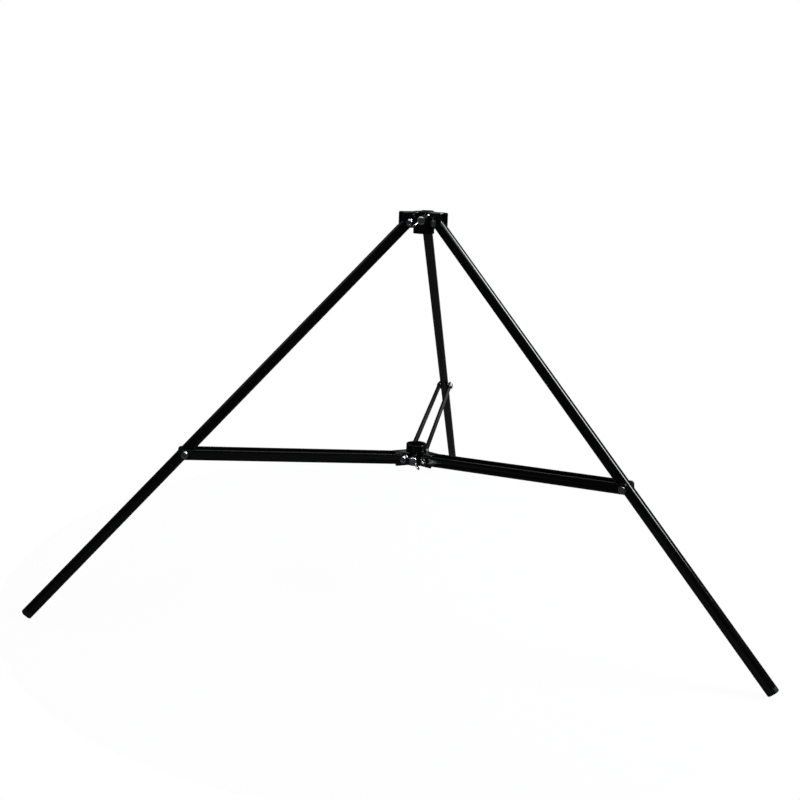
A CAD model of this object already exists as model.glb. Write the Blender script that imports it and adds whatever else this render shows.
import math

import bmesh
import bpy
from mathutils import Matrix, Vector


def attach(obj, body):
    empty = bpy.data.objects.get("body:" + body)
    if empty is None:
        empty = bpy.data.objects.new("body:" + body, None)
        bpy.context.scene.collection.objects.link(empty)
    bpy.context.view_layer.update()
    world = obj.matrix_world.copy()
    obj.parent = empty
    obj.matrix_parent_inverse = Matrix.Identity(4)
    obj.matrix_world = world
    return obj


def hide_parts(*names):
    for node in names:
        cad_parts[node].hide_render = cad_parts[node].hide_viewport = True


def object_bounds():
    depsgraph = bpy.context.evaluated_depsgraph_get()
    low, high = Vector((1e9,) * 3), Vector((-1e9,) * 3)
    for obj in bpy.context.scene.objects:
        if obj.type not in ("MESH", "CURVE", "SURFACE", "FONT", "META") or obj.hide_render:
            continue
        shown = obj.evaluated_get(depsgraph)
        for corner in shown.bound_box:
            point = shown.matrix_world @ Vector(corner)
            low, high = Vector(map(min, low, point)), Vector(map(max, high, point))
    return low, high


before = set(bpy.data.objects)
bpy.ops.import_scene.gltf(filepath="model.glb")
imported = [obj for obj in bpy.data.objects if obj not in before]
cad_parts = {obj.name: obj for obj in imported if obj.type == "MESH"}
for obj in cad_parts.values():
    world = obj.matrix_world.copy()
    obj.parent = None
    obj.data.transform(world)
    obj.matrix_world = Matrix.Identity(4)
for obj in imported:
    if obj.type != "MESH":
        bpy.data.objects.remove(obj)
cad_box = [list(corner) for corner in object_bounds()]

# ---------- the view ----------
# The open stand is seen from in front, a step to the right of its wing screws and a little above
# its upper collar, through a mild telephoto lens two metres away.

image_px = 800
view_turn = math.radians(7.9149)
view_distance = 1.96781
view_height = 0.132946
view_yaw = math.radians(1.0263)
view_pitch = math.radians(13.7183)
view_roll = math.radians(1.7397)
view_focal_px = 1026.88

camera_data = bpy.data.cameras.new("camera")
camera = bpy.data.objects.new("camera", camera_data)
bpy.context.scene.collection.objects.link(camera)
camera_data.sensor_width = 36
camera_data.lens = view_focal_px * camera_data.sensor_width / image_px
camera_data.clip_end = 100
stand_to_view = (
    Matrix.Rotation(view_roll, 3, "Y")
    @ Matrix.Rotation(view_pitch, 3, "X")
    @ Matrix.Rotation(-view_yaw - view_turn, 3, "Z")
)
right, ahead, up = stand_to_view
camera_turn = Matrix((right, up, -ahead)).transposed()
camera_place = Matrix.Rotation(view_turn, 3, "Z") @ Vector((0, -view_distance, view_height))
camera.matrix_world = Matrix.Translation(camera_place) @ camera_turn.to_4x4()
bpy.context.scene.camera = camera

# ---------- the floor, the backdrop and the lamps ----------
# A round pale table top carries the three feet, before a white paper backdrop in a dim room. The
# view looks mostly through the table, so that the folded stand below it still shows. A long strip
# lamp hangs on the right, and weaker square ones overhead, on the left and behind.


class Channel:
    """A socket with a value that varies, so that sums with it are written as plain Python."""

    def __init__(self, finish, socket):
        self.finish = finish
        self.socket = socket

    def maths(self, operation, first, second):
        return self.finish.node("ShaderNodeMath", {"operation": operation}, {0: first, 1: second})

    def __add__(self, other):
        return self.maths("ADD", self, other)

    def __radd__(self, other):
        return self.maths("ADD", other, self)

    def __sub__(self, other):
        return self.maths("SUBTRACT", self, other)

    def __rsub__(self, other):
        return self.maths("SUBTRACT", other, self)

    def __mul__(self, other):
        return self.maths("MULTIPLY", self, other)

    def __rmul__(self, other):
        return self.maths("MULTIPLY", other, self)

    def __pow__(self, other):
        return self.maths("POWER", self, other)

    def most(self, other):
        return self.maths("MAXIMUM", self, other)


class Finish:
    """The nodes of one finish, or of the room's light."""

    def __init__(self, owner):
        owner.use_nodes = True
        self.owner = owner
        self.tree = owner.node_tree

    def node(self, kind, settings, values, output=0):
        made = self.tree.nodes.new(kind)
        for name, setting in settings.items():
            setattr(made, name, setting)
        for name, value in values.items():
            self.feed(made.inputs[name], value)
        return Channel(self, made.outputs[output])

    def feed(self, socket, value):
        if isinstance(value, Channel):
            self.tree.links.new(value.socket, socket)
        elif socket.type == "RGBA":
            socket.default_value = (*value, 1)
        else:
            socket.default_value = value

    def place(self):
        return self.node("ShaderNodeTexCoord", {}, {}, "Object")

    def mapped(self, place, **values):
        return self.node("ShaderNodeMapping", {"vector_type": "POINT"}, {"Vector": place, **values})

    def noise(self, place, scale, detail=2, roughness=0.5, distortion=0):
        values = {"Vector": place, "Scale": scale, "Detail": detail, "Roughness": roughness}
        return self.node("ShaderNodeTexNoise", {}, {**values, "Distortion": distortion}, "Fac")

    def between(self, amount, low, high):
        """0 below low, 1 above high and a soft step from one to the other."""
        settings = {"interpolation_type": "SMOOTHSTEP"}
        values = {"Value": amount, "From Min": low, "From Max": high}
        return self.node("ShaderNodeMapRange", settings, values)

    def blend(self, mask, first, second):
        """The first colour where the mask is 0, and the second where it is 1."""
        # A Mix node has sockets of the same name for each type of value. Those for colours are
        # numbers 6 and 7, and the mixed colour is number 2.
        values = {0: mask, 6: first, 7: second}
        return self.node("ShaderNodeMix", {"data_type": "RGBA"}, values, 2)

    def bump(self, strength, distance, height):
        values = {"Strength": strength, "Distance": distance, "Height": height}
        return self.node("ShaderNodeBump", {}, values, "Normal")

    def rays(self):
        """Two masks: the camera's own rays, and those off something glossy or through glass."""
        camera_rays = self.node("ShaderNodeLightPath", {}, {}, "Is Camera Ray")
        kinds = camera_rays.socket.node.outputs
        glossy_rays = Channel(self, kinds["Is Glossy Ray"])
        return camera_rays, glossy_rays.most(Channel(self, kinds["Is Transmission Ray"]))

    def shade(self, **values):
        """Sets the sockets of the finish's own shader, a word for each socket."""
        shader = self.tree.nodes["Principled BSDF"]
        for name, value in values.items():
            self.feed(shader.inputs[name.replace("_", " ")], value)


floor_z = cad_box[0][2]
table_radius = 0.8
table_gap = 0.0003
# The table's grey to the lamps and to the camera, how much of the white behind it comes through to
# the camera, and its share of white in what paint and metal mirror.
table_grey = 0.06
table_shown_grey = 0.9
table_see_through = 0.96
table_glossy_share = 0.03

bpy.ops.object.select_all(action="DESELECT")
bpy.ops.mesh.primitive_circle_add(
    vertices=128, radius=table_radius, fill_type="NGON", location=(0, 0, floor_z - table_gap)
)
table = bpy.context.object
table.name = "table_top"
table_finish = Finish(bpy.data.materials.new("pale_table"))
table_seen, table_mirrored = table_finish.rays()
table_finish.shade(
    Base_Color=table_finish.blend(table_seen, (table_grey,) * 3, (table_shown_grey,) * 3),
    Alpha=1 - table_seen * table_see_through,
    Roughness=0.9,
    Specular_IOR_Level=0,
)
table_paint = Channel(table_finish, table_finish.tree.nodes["Principled BSDF"].outputs[0])
table_glow = table_finish.node("ShaderNodeEmission", {}, {"Color": (1, 1, 1), "Strength": 1})
table_parts = {0: table_mirrored * table_glossy_share, 1: table_paint, 2: table_glow}
table_mix = table_finish.node("ShaderNodeMixShader", {}, table_parts)
table_finish.feed(table_finish.tree.nodes["Material Output"].inputs["Surface"], table_mix)
table.data.materials.append(table_finish.owner)

# The backdrop fades out from 22 to 34 degrees off its heading, and up and down over the heights
# given. The brightness is that of its middle and its foot as paint and metal mirror them, of the
# rest of the room as they mirror it, and of the room as a light.
backdrop_heading = (ahead.x, ahead.y, 0)
backdrop_edge = math.cos(math.radians(34))
backdrop_full = math.cos(math.radians(22))
backdrop_rise = (-0.03, 0.02)
backdrop_top = (0.12, 0.26)
backdrop_shown = 0.22
backdrop_foot = 0.09
room_dim = 0.03
room_light = 0.12
lamp_colour = (0.92, 0.97, 1.0)

bpy.context.scene.world = bpy.data.worlds.new("studio")
room = Finish(bpy.context.scene.world)
facing = room.node("ShaderNodeTexCoord", {}, {}, "Generated")
headings = {0: facing, 1: backdrop_heading}
towards = room.node("ShaderNodeVectorMath", {"operation": "DOT_PRODUCT"}, headings, "Value")
height = room.node("ShaderNodeSeparateXYZ", {}, {"Vector": facing}, "Z")
risen = room.between(height, *backdrop_rise)
paper = room.between(towards, backdrop_edge, backdrop_full)
paper = paper * (1 - room.between(height, *backdrop_top))
seen, mirrored = room.rays()
reflected = room_dim + paper * (backdrop_foot + risen * (backdrop_shown - backdrop_foot))
unseen = mirrored * reflected + (1 - mirrored) * room_light
room.feed(room.tree.nodes["Background"].inputs["Color"], seen + (1 - seen) * unseen)


def lamp(name, place, aim, long_side, short_side, power, along):
    """A flat rectangular lamp at a place, aimed at a point, its long side along a direction."""
    data = bpy.data.lights.new(name, "AREA")
    data.shape = "RECTANGLE"
    data.size, data.size_y, data.energy = long_side, short_side, power
    data.color = lamp_colour
    made = bpy.data.objects.new(name, data)
    bpy.context.scene.collection.objects.link(made)
    back = (Vector(place) - Vector(aim)).normalized()
    wide = (Vector(along) - back * Vector(along).dot(back)).normalized()
    turned = Matrix((wide, back.cross(wide), back)).transposed()
    made.matrix_world = Matrix.Translation(place) @ turned.to_4x4()


lamp("strip_lamp", (1.54, 0.38, 1.17), (0.3, -0.2, -0.3), 1.5, 0.7, 58, (0.9, -0.8, -0.55))
lamp("overhead_lamp", (0.12, -0.05, 1.5), (0.05, 0, 0), 1.3, 1.2, 9, (1, 0, 0))
lamp("left_lamp", (-1.75, 0.4, 1.25), (-0.3, -0.1, -0.3), 1.2, 1.2, 2, (0, 1, 0))
lamp("rear_lamp", (-0.82, 0.74, 1.42), (0, 0, -0.1), 0.6, 0.6, 3.5, (1, 0, 0))

# ---------- collar tubes, bosses and brackets ----------
# Two short lengths of thick steel tube, each with three folded sheet channels and one threaded
# boss welded round it. Once welded, they are sprayed and stoved gloss black, beads included.

levels = ("upper", "lower")
side_turns = {"left": math.radians(210), "right": math.radians(330), "rear": math.radians(90)}
collar_radius = 0.020
bore_radius = 0.0165
bracket_half = 0.0119
lower_z = -0.4615
screw_heights = {"upper": 0.0055, "lower": lower_z + 0.001}


def stoved_black(name, coarse=0.5, turn=None):
    """Gloss black stoved paint. With a turn, the metal below was drawn along the turned Z axis."""
    paint = Finish(bpy.data.materials.new(name))
    place = paint.place()
    orange_peel = paint.noise(place, 620, 2, 0.4)
    haze = paint.noise(place, 26, 5, 0.6, 0.4)
    cells = paint.node("ShaderNodeTexVoronoi", {}, {"Vector": place, "Scale": 330}, "Distance")
    patchy = paint.noise(place, 60, 3)
    dust = (1 - paint.between(cells, 0.05, 0.11)) * paint.between(patchy, 0.56, 0.66)
    relief = orange_peel * (coarse * 0.5)
    if turn is not None:
        level = paint.mapped(place, Rotation=turn.inverted().to_euler())
        drawn = paint.mapped(level, Scale=(1, 1, 0.012))
        streaks = paint.noise(drawn, 900, 3, 0.6)
        relief = relief + streaks * 0.06
        haze = haze * 0.75 + streaks * 0.25
    clean = paint.blend(haze, (0.0007, 0.00075, 0.00085), (0.0022, 0.0022, 0.0024))
    paint.shade(
        Base_Color=paint.blend(dust, clean, (0.035, 0.034, 0.032)),
        Roughness=0.11 + 0.1 * haze + 0.25 * dust,
        Specular_IOR_Level=0.5,
        Normal=paint.bump(0.05, 0.0001, relief),
    )
    return paint


def dress(piece, *finishes):
    piece.data.materials.clear()
    for finish in finishes:
        piece.data.materials.append(finish.owner)


def worn_bore(name):
    """The collars' paint, rubbed to grey steel in streaks where the mast slides in the bore."""
    paint = stoved_black(name)
    place = paint.place()
    x, y = (paint.node("ShaderNodeSeparateXYZ", {}, {"Vector": place}, axis) for axis in "XY")
    from_axis = (x * x + y * y) ** 0.5
    in_bore = 1 - paint.between(from_axis, bore_radius + 0.0001, bore_radius + 0.0005)
    drawn = paint.mapped(place, Scale=(1, 1, 0.06))
    streaks = paint.between(paint.noise(drawn, 700, 4, 0.65), 0.54, 0.7)
    rubbed = in_bore * streaks * 0.8
    shader = paint.tree.nodes["Principled BSDF"]
    colour = Channel(paint, shader.inputs["Base Color"].links[0].from_socket)
    roughness = Channel(paint, shader.inputs["Roughness"].links[0].from_socket)
    paint.shade(
        Base_Color=paint.blend(rubbed, colour, (0.10, 0.10, 0.10)),
        Roughness=roughness + rubbed * 0.15,
        Metallic=rubbed * 0.8,
    )
    return paint


collar_paint = stoved_black("stoved_black_collar")
for level in levels:
    dress(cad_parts[f"{level}_collar_tube"], worn_bore(f"stoved_black_{level}_tube"))
    dress(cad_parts[f"{level}_screw_boss"], collar_paint)


def softened(node, radius, finish, body):
    """A copy of a sheet or bar part with its sharp edges rounded a little, in place of the node."""
    bpy.ops.object.select_all(action="DESELECT")
    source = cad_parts[node]
    piece = bpy.data.objects.new(f"rounded_{node}", source.data.copy())
    bpy.context.scene.collection.objects.link(piece)
    piece.select_set(True)
    bpy.context.view_layer.objects.active = piece
    bpy.ops.object.mode_set(mode="EDIT")
    bpy.ops.mesh.select_all(action="SELECT")
    bpy.ops.mesh.remove_doubles(threshold=0.000002)
    bpy.ops.mesh.dissolve_limited(angle_limit=math.radians(0.5))
    bpy.ops.object.mode_set(mode="OBJECT")
    bevel = piece.modifiers.new("rounded_edges", "BEVEL")
    bevel.width, bevel.segments, bevel.angle_limit = radius, 2, math.radians(40)
    bpy.ops.object.modifier_apply(modifier=bevel.name)
    bpy.ops.object.shade_smooth_by_angle(angle=math.radians(38))
    dress(piece, finish)
    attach(piece, body)
    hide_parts(node)


fold_radius = 0.00035
for side in side_turns:
    for level in levels:
        node = f"{level}_bracket_{side}"
        softened(node, fold_radius, collar_paint, f"{level}_collar")


def ring(radius, z, count=48, hexagon=False):
    """Points round the Z axis, on a circle or on a hexagon of that radius across its flats."""
    points = []
    for step in range(count):
        angle = 2 * math.pi * step / count
        reach = radius / math.cos(angle % (math.pi / 3) - math.pi / 6) if hexagon else radius
        points.append(Vector((reach * math.cos(angle), reach * math.sin(angle), z)))
    return points


def built_up(name, rings, smooth_angle=35):
    """A short prism, the end face of which is drawn out once for each further ring of points."""
    bpy.ops.object.select_all(action="DESELECT")
    count = len(rings[0])
    bpy.ops.mesh.primitive_cylinder_add(vertices=count, radius=1, depth=2, end_fill_type="NGON")
    piece = bpy.context.object
    piece.name = piece.data.name = name
    bpy.ops.object.mode_set(mode="EDIT")
    bpy.ops.mesh.select_all(action="DESELECT")
    edit = bmesh.from_edit_mesh(piece.data)
    for height, points in ((-1, rings[0]), (1, rings[1])):
        verts = [vert for vert in edit.verts if abs(vert.co.z - height) < 0.01]
        verts.sort(key=lambda vert: math.atan2(vert.co.y, vert.co.x) % (2 * math.pi - 0.001))
        for vert, point in zip(verts, points):
            vert.co = point
            vert.select = height > 0
    edit.select_flush(True)
    for end, points in zip(rings[1:], rings[2:]):
        bpy.ops.mesh.extrude_region_move()
        edit = bmesh.from_edit_mesh(piece.data)
        drawn = [vert for vert in edit.verts if vert.select]
        found = [min(drawn, key=lambda vert: (vert.co - old).length_squared) for old in end]
        for vert, point in zip(found, points):
            vert.co = point
    bmesh.update_edit_mesh(piece.data)
    bpy.ops.mesh.select_all(action="SELECT")
    bpy.ops.mesh.normals_make_consistent(inside=False)
    bpy.ops.object.mode_set(mode="OBJECT")
    bpy.ops.object.shade_smooth_by_angle(angle=math.radians(smooth_angle))
    return piece


def set_down(piece, name, place):
    """A copy of a modelled piece with its own mesh, moved and turned to its place."""
    copy = bpy.data.objects.new(name, piece.data.copy())
    bpy.context.scene.collection.objects.link(copy)
    bpy.ops.object.select_all(action="DESELECT")
    copy.select_set(True)
    bpy.context.view_layer.objects.active = copy
    copy.matrix_world = place
    bpy.ops.object.transform_apply(location=True, rotation=True, scale=True)
    return copy


def joined(name, *pieces):
    bpy.ops.object.select_all(action="DESELECT")
    for piece in pieces:
        piece.select_set(True)
    bpy.context.view_layer.objects.active = pieces[0]
    bpy.ops.object.join()
    pieces[0].name = pieces[0].data.name = name
    return pieces[0]


def at_side(side):
    return Matrix.Rotation(side_turns[side], 4, "Z")


bead_radius = 0.0015
bead_ripple = 0.0021
bead_short = 0.0012
bead_steps = 56
bead_x = 0.01645
bead_y = 0.01235
bracket_spans = {"upper": (-0.0095, 0.0205), "lower": (lower_z - 0.0135, lower_z + 0.013)}
for level, (bottom, top) in bracket_spans.items():
    length = top - bottom - bead_short
    bead_rings = []
    for step in range(bead_steps + 1):
        z = length * (step / bead_steps - 0.5)
        swell = 1 - 0.13 * math.sin(math.pi * z / bead_ripple) ** 4
        ends = min(1, 0.45 + 3.2 * min(step, bead_steps - step) / bead_steps)
        bead_rings.append(ring(bead_radius * swell * ends, z, 12))
    bead = built_up("weld_bead", bead_rings, 60)
    beads = []
    for side in side_turns:
        for flip in (0, math.pi):
            place = at_side(side) @ Matrix.Translation((0, 0, (top + bottom) / 2))
            place = place @ Matrix.Rotation(flip, 4, "X") @ Matrix.Translation((bead_x, bead_y, 0))
            beads.append(set_down(bead, "weld_bead", place))
    bpy.data.objects.remove(bead)
    welds = joined(f"{level}_bracket_welds", *beads)
    dress(welds, collar_paint)
    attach(welds, f"{level}_collar")

boss_weld_radius = 0.0082
boss_bead = 0.0011
for level in levels:
    screw_z = screw_heights[level]
    boss_foot = Vector((0, -collar_radius, screw_z))
    bpy.ops.object.select_all(action="DESELECT")
    bpy.ops.mesh.primitive_torus_add(
        major_radius=boss_weld_radius,
        minor_radius=boss_bead,
        major_segments=96,
        minor_segments=12,
        location=boss_foot,
        rotation=(math.pi / 2, 0, 0),
    )
    weld = bpy.context.object
    weld.name = weld.data.name = f"{level}_boss_weld"
    bpy.ops.object.transform_apply(location=True, rotation=True, scale=True)
    bpy.ops.object.mode_set(mode="EDIT")
    edit = bmesh.from_edit_mesh(weld.data)
    for vert in edit.verts:
        spoke = Vector((vert.co.x, 0, vert.co.z - screw_z))
        centre = spoke.normalized() * boss_weld_radius + boss_foot
        ripple = 1 - 0.16 * math.sin(10 * math.atan2(spoke.z, spoke.x)) ** 4
        vert.co = centre + (vert.co - centre) * ripple
        vert.co.y += collar_radius - math.sqrt(collar_radius ** 2 - vert.co.x ** 2)
    bmesh.update_edit_mesh(weld.data)
    bpy.ops.mesh.select_all(action="SELECT")
    bpy.ops.mesh.normals_make_consistent(inside=False)
    bpy.ops.object.mode_set(mode="OBJECT")
    bpy.ops.object.shade_smooth_by_angle(angle=math.radians(60))
    dress(weld, collar_paint)
    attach(weld, f"{level}_collar")

# ---------- wing screws ----------
# A butterfly of cast zinc on a rolled M8 stem, nickel plated as one. It screws through the boss
# until the stem's tip presses on the mast.

stem_radius = 0.00395
thread_pitch = 0.00125
thread_depth = 0.0006
thread_steps = 8
stem_points = 24
stem_tip = 0.0169
tip_inset = 0.0011
tip_bevel = 0.0007
hub_base = 0.033
stem_top = hub_base + 0.001


def nickel():
    plating = Finish(bpy.data.materials.new("bright_nickel"))
    place = plating.place()
    cast = plating.noise(place, 420, 3, 0.55)
    cloud = plating.noise(place, 120, 4, 0.6)
    pits = 1 - plating.between(plating.noise(place, 1500, 2), 0.30, 0.38)
    relief = cast * 0.7 - pits * 0.5
    plating.shade(
        Base_Color=plating.blend(cloud, (0.50, 0.50, 0.49), (0.64, 0.64, 0.63)),
        Metallic=1.0,
        Roughness=0.08 + 0.09 * cloud + 0.2 * pits,
        Normal=plating.bump(0.08, 0.0001, relief),
    )
    return plating


def threaded_stem(name, start, stop):
    """A stem with a rolled thread, each ring turned a little on from the last."""
    rings = [
        ring(stem_radius - tip_inset, start, stem_points),
        ring(stem_radius - thread_depth, start + tip_bevel, stem_points),
    ]
    steps = round((stop - start - tip_bevel) / thread_pitch * thread_steps)
    for step in range(1, steps + 1):
        z = start + tip_bevel + step * thread_pitch / thread_steps
        points = []
        for point in ring(1, z, stem_points):
            turned = (z / thread_pitch - math.atan2(point.y, point.x) / (2 * math.pi)) % 1
            crest = min(1, max(0, 1.7 * abs(2 * turned - 1) - 0.35))
            radius = stem_radius - thread_depth * (1 - crest)
            points.append(Vector((point.x * radius, point.y * radius, z)))
        rings.append(points)
    return built_up(name, rings, 50)


def wing(name):
    """One wing, drawn out from the hub through rounded sections to its tip."""
    root, tip = Vector((0.0036, 0.00475)), Vector((0.0148, 0.0133))
    along = (tip - root).normalized()
    across = Vector((-along.y, along.x))
    # Along the wing, half its width, half its thickness and its shift off the line to the tip.
    stations = [
        (-0.0010, 0.0034, 0.0024, 0),
        (0.0010, 0.0034, 0.0023, -0.0001),
        (0.0045, 0.0034, 0.0021, -0.0005),
        (0.0080, 0.0038, 0.0020, -0.0006),
        (0.0110, 0.0045, 0.0019, -0.0003),
        (0.0141, 0.0052, 0.0018, 0),
        (0.0160, 0.0048, 0.0018, 0),
        (0.0176, 0.0038, 0.0017, 0),
        (0.0187, 0.0024, 0.0015, 0),
        (0.0192, 0.0010, 0.0011, 0),
    ]
    squareness = 0.7
    points_round = 16
    rings = []
    for run, half_width, half_thick, shift in stations:
        centre = root + along * run + across * shift
        points = []
        for step in range(points_round):
            angle = 2 * math.pi * step / points_round
            cosine, sine = math.cos(angle), math.sin(angle)
            flat = centre + across * math.copysign(abs(cosine) ** squareness, cosine) * half_width
            thick = math.copysign(abs(sine) ** squareness, sine) * half_thick
            points.append(Vector((flat.x, thick, hub_base + flat.y)))
        rings.append(points)
    return built_up(name, rings, 180)


hub_profile = [
    (0.0080, 0), (0.0085, 0.0005), (0.0083, 0.0030), (0.0079, 0.0056), (0.0075, 0.0070),
    (0.0069, 0.0081), (0.0061, 0.0090), (0.0052, 0.0095), (0.0046, 0.0095), (0.0040, 0.0090),
    (0.0028, 0.0088),
]
hub = built_up("hub", [ring(radius, hub_base + z) for radius, z in hub_profile], 180)
right_wing = wing("right_wing")
left_wing = set_down(right_wing, "left_wing", Matrix.Rotation(math.pi, 4, "Z"))
butterfly = joined("butterfly", hub, right_wing, left_wing)
cast = butterfly.modifiers.new("cast_in_one", "REMESH")
cast.mode = "VOXEL"
cast.voxel_size = 0.00032
bpy.ops.object.modifier_apply(modifier=cast.name)
blend_round = butterfly.modifiers.new("fillets", "SMOOTH")
blend_round.factor, blend_round.iterations = 0.5, 7
bpy.ops.object.modifier_apply(modifier=blend_round.name)
bpy.ops.object.shade_smooth_by_angle(angle=math.radians(180))
stem = threaded_stem("stem", stem_tip, stem_top)
screw = joined("wing_screw", butterfly, stem)

screw_turns = {"upper": math.radians(38), "lower": math.radians(-45)}
for level, turn in screw_turns.items():
    place = Matrix.Translation((0, 0, screw_heights[level])) @ Matrix.Rotation(math.pi / 2, 4, "X")
    place = place @ Matrix.Rotation(turn, 4, "Z")
    piece = set_down(screw, f"{level}_butterfly_screw", place)
    dress(piece, nickel())
    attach(piece, f"{level}_wing_screw")
    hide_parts(f"{level}_wing_screw")
bpy.data.objects.remove(screw)

# ---------- legs ----------
# Welded steel tube of a soft rectangular section, drilled for two bolts and sprayed gloss black.
# Faint lines from the drawing of the tube show along it under the paint.

leg_tilt = math.radians(45.5)
for side in side_turns:
    turn = (at_side(side) @ Matrix.Rotation(-leg_tilt, 4, "Y")).to_3x3()
    dress(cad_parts[f"leg_tube_{side}"], stoved_black(f"stoved_black_leg_{side}", 0.5, turn))

# ---------- foot plugs ----------
# Black moulded polyethylene, pushed into the lower end of each tube. The head is as large as the
# tube, with a fine eroded grain, and its end is scuffed grey where it stands on the ground.

foot_plastic = Finish(bpy.data.materials.new("moulded_foot_plastic"))
place = foot_plastic.place()
height = foot_plastic.node("ShaderNodeSeparateXYZ", {}, {"Vector": place}, "Z")
grain = foot_plastic.noise(place, 1900, 2, 0.6)
flow = foot_plastic.noise(place, 90, 3)
scraped = foot_plastic.between(foot_plastic.noise(place, 420, 4, 0.7), 0.5, 0.62)
scuffed = (1 - foot_plastic.between(height, floor_z + 0.001, floor_z + 0.008)) * scraped
moulded = foot_plastic.blend(flow, (0.010, 0.010, 0.011), (0.02, 0.02, 0.021))
foot_plastic.shade(
    Base_Color=foot_plastic.blend(scuffed, moulded, (0.09, 0.088, 0.085)),
    Roughness=0.42 + 0.14 * flow + 0.2 * scuffed,
    Specular_IOR_Level=0.45,
    Normal=foot_plastic.bump(0.5, 0.00008, grain + scuffed),
)
for side in side_turns:
    dress(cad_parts[f"foot_plug_{side}"], foot_plastic)

# ---------- strut bars ----------
# Flat steel bar with its edges rolled round, cropped and punched at both ends and sprayed gloss
# black. Each pair is sprung a little together from the bracket's width to the leg's.

strut_length = 0.42862
strut_rise = math.radians(5.6712)
rolled_radius = 0.0006
for side in side_turns:
    turn = (at_side(side) @ Matrix.Rotation(math.pi / 2 - strut_rise, 4, "Y")).to_3x3()
    strut_paint = stoved_black(f"stoved_black_strut_{side}", 0.7, turn)
    for bar in "ab":
        node = f"strut_bar_{bar}_{side}"
        softened(node, rolled_radius, strut_paint, f"strut_{side}")

# ---------- bolts ----------
# M8 steel screws with low domed heads and a hexagon socket, cold formed and bright zinc plated.
# They pass through a bracket and a leg, a bracket and two bars, or a leg and two bars.

pivot_radius = 0.0335
bar_gap = 0.0003
nut_height = 0.0045
tail_inside = 0.0005
shank_radius = 0.00393
tip_radius = 0.0031
tip_length = 0.0008
neck = 0.0001
head_height = 0.0044
dome_radius = 0.007929
# The rim of the head by radius and height, the dome by degrees off its middle, and the socket by
# radius and depth.
head_rim = [(0.0067, 0), (0.0070, 0.00012), (0.0071, 0.0004)]
dome_degrees = [59, 54, 48, 42, 36, 30, 25, 22]
socket_mouth = 0.00285
socket_walls = [(0.0026, 0.0001), (0.0025, 0.0003), (0.0025, 0.0020)]
socket_floor = [(0.0021, 0.0021), (0.0005, 0.0029)]


def bright_zinc():
    plating = Finish(bpy.data.materials.new("bright_zinc"))
    place = plating.place()
    cloud = plating.noise(place, 210, 4, 0.6, 0.3)
    grain = plating.noise(place, 2400, 2, 0.5)
    dulled = plating.between(plating.noise(place, 70, 3), 0.5, 0.68)
    bright = plating.blend(cloud, (0.36, 0.375, 0.40), (0.50, 0.51, 0.52))
    plating.shade(
        Base_Color=plating.blend(dulled * 0.5, bright, (0.33, 0.33, 0.32)),
        Metallic=1.0,
        Roughness=0.08 + 0.08 * cloud + 0.08 * dulled,
        Normal=plating.bump(0.05, 0.00006, grain + cloud),
    )
    return plating


def domed_screw(name, tail, seat):
    """A domed screw along Z, from the end of its shank to the floor of the socket in its head."""
    rings = [ring(tip_radius, tail), ring(shank_radius, tail + tip_length)]
    rings += [ring(shank_radius, seat - neck)]
    rings += [ring(radius, seat + z) for radius, z in head_rim]
    centre = seat + head_height - dome_radius
    for degrees in dome_degrees:
        angle = math.radians(degrees)
        top = centre + dome_radius * math.cos(angle)
        rings += [ring(dome_radius * math.sin(angle), top)]
    rings += [ring(socket_mouth, top)]
    rings += [ring(radius, top - depth, hexagon=True) for radius, depth in socket_walls]
    rings += [ring(radius, top - depth) for radius, depth in socket_floor]
    return built_up(name, rings, 30)


across_y = Matrix.Rotation(-math.pi / 2, 4, "X")
upper_seat = bracket_half
lower_seat = 0.0163 + bar_gap
leg_bar_in, leg_bar_out = 0.0107, 0.0147
upper_pivot = Matrix.Translation((pivot_radius, 0, 0))
lower_pivot = Matrix.Translation((pivot_radius, 0, lower_z))
strut_end = lower_pivot @ Matrix.Rotation(-strut_rise, 4, "Y")
strut_end = strut_end @ Matrix.Translation((strut_length, 0, 0))


def tail_end(seat):
    """How far along its own axis a bolt ends that is screwed into a nut on this seat."""
    return tail_inside - nut_height - seat


def fastened(model, prefix, node, body, side, place, *finishes):
    """A copy of a modelled bolt or nut at its place on one side, instead of the node."""
    piece = set_down(model, f"{prefix}_{node}_{side}", place)
    dress(piece, *finishes)
    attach(piece, f"strut_{side}" if body == "strut" else body)
    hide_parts(f"{node}_{side}")


strut_head = domed_screw("strut_head", leg_bar_in, leg_bar_out)
strut_tail_start = tail_end(leg_bar_out)
strut_tail = built_up("strut_tail", [
    ring(tip_radius, strut_tail_start),
    ring(shank_radius, strut_tail_start + tip_length),
    ring(shank_radius, -leg_bar_in),
])
upper_bolt = domed_screw("upper_bolt", tail_end(upper_seat), upper_seat)
lower_bolt = domed_screw("lower_bolt", tail_end(lower_seat), lower_seat)
strut_bolt_ends = joined("strut_bolt_ends", strut_head, strut_tail)
zinc = bright_zinc()
for screw, node, pivot, body in (
    (upper_bolt, "upper_bolt", upper_pivot, "upper_collar"),
    (lower_bolt, "lower_bolt", lower_pivot, "lower_collar"),
    (strut_bolt_ends, "strut_bolt_ends", strut_end, "strut"),
):
    for side in side_turns:
        place = at_side(side) @ pivot @ across_y
        fastened(screw, "domed", node, body, side, place, zinc)
    bpy.data.objects.remove(screw)

# ---------- lock nuts ----------
# Thin M8 hexagon lock nuts, chamfered and zinc plated, with a lip rolled in over a ring of dark
# nylon that grips the thread. The end of each bolt lies half a millimetre inside.

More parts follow.
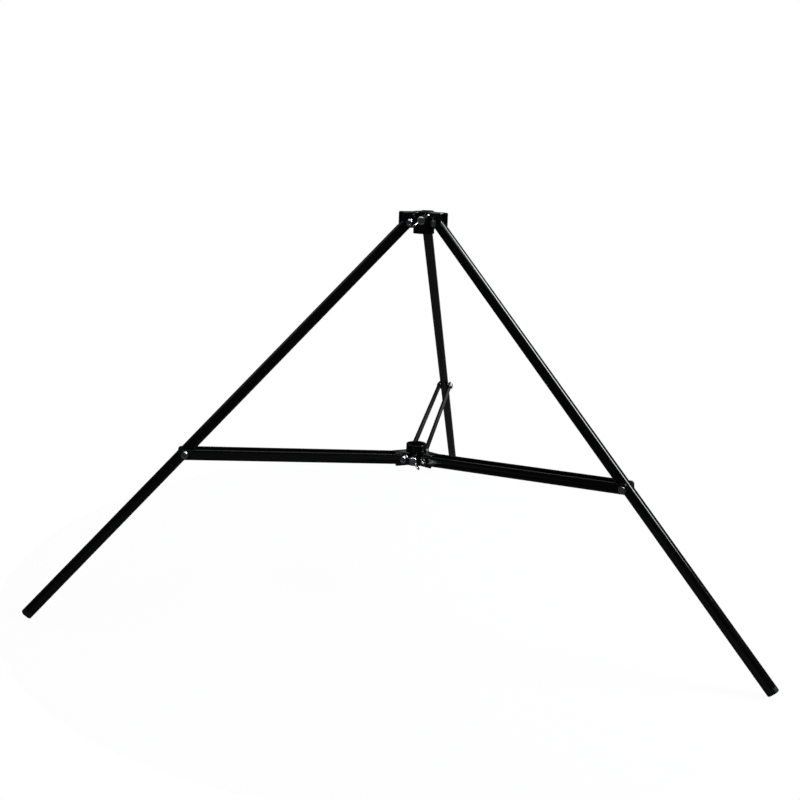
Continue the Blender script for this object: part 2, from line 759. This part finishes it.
foot_radius = 0.0061
foot_bevel = 0.00015
hex_half = 0.0065
hex_height = 0.0034
chamfer_radius = 0.0062
chamfer_slope = math.tan(math.radians(30))
nylon_radius = 0.00436
nylon_floor = hex_height + 0.0003
nylon = Finish(bpy.data.materials.new("dark_nylon"))
mottle = nylon.noise(nylon.place(), 700, 3)
nylon.shade(
    Base_Color=nylon.blend(mottle, (0.012, 0.014, 0.022), (0.022, 0.026, 0.038)),
    Roughness=0.4 + 0.2 * mottle,
    Normal=nylon.bump(0.2, 0.00005, mottle),
)
chamfer = []
for point in ring(hex_half, hex_height, hexagon=True):
    drop = (math.hypot(point.x, point.y) - chamfer_radius) * chamfer_slope
    chamfer.append(Vector((point.x, point.y, hex_height - drop)))
# The lip over the hexagon: out, over and into the bore, by radius and height above the hexagon.
lip_profile = [
    (0.00585, 0), (0.0058, 0.00025), (0.00562, 0.0007), (0.0052, 0.001), (0.0047, 0.0011),
    (0.00445, 0.001), (0.0044, 0.0008), (0.00405, 0.0007), (0.004, 0.0001),
]
nut_rings = [ring(foot_radius, 0), ring(hex_half, foot_bevel, hexagon=True), chamfer]
nut_rings += [ring(chamfer_radius, hex_height)]
nut_rings += [ring(radius, hex_height + z) for radius, z in lip_profile]
nut = built_up("lock_nut", nut_rings, 32)
for face in nut.data.polygons:
    if face.center.z > nylon_floor and math.hypot(face.center.x, face.center.y) < nylon_radius:
        face.material_index = 1
nut_turn = Matrix.Rotation(math.pi / 2, 4, "X") @ Matrix.Rotation(math.radians(-20), 4, "Z")
for node, pivot, seat, body in (
    ("upper_locknut", upper_pivot, upper_seat, "upper_collar"),
    ("lower_locknut", lower_pivot, lower_seat, "lower_collar"),
    ("strut_locknut", strut_end, leg_bar_out, "strut"),
):
    for side in side_turns:
        place = at_side(side) @ pivot @ Matrix.Translation((0, -seat, 0)) @ nut_turn
        fastened(nut, "nylon", node, body, side, place, zinc, nylon)
bpy.data.objects.remove(nut)

# ---------- washers and shanks of the strut bolts ----------
# Two stamped M8 washers keep each pair of bars off its leg, round the plain shank of the bolt.
# Both are zinc plated as the bolts are.

for side in side_turns:
    for node in ("leg_spacers", "strut_bolt_shank"):
        dress(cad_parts[f"{node}_{side}"], zinc)

# ---------- closing ----------
# The stand's two boxes, as packed and as finished, are kept for comparison.

bpy.context.scene.view_settings.view_transform = "Standard"
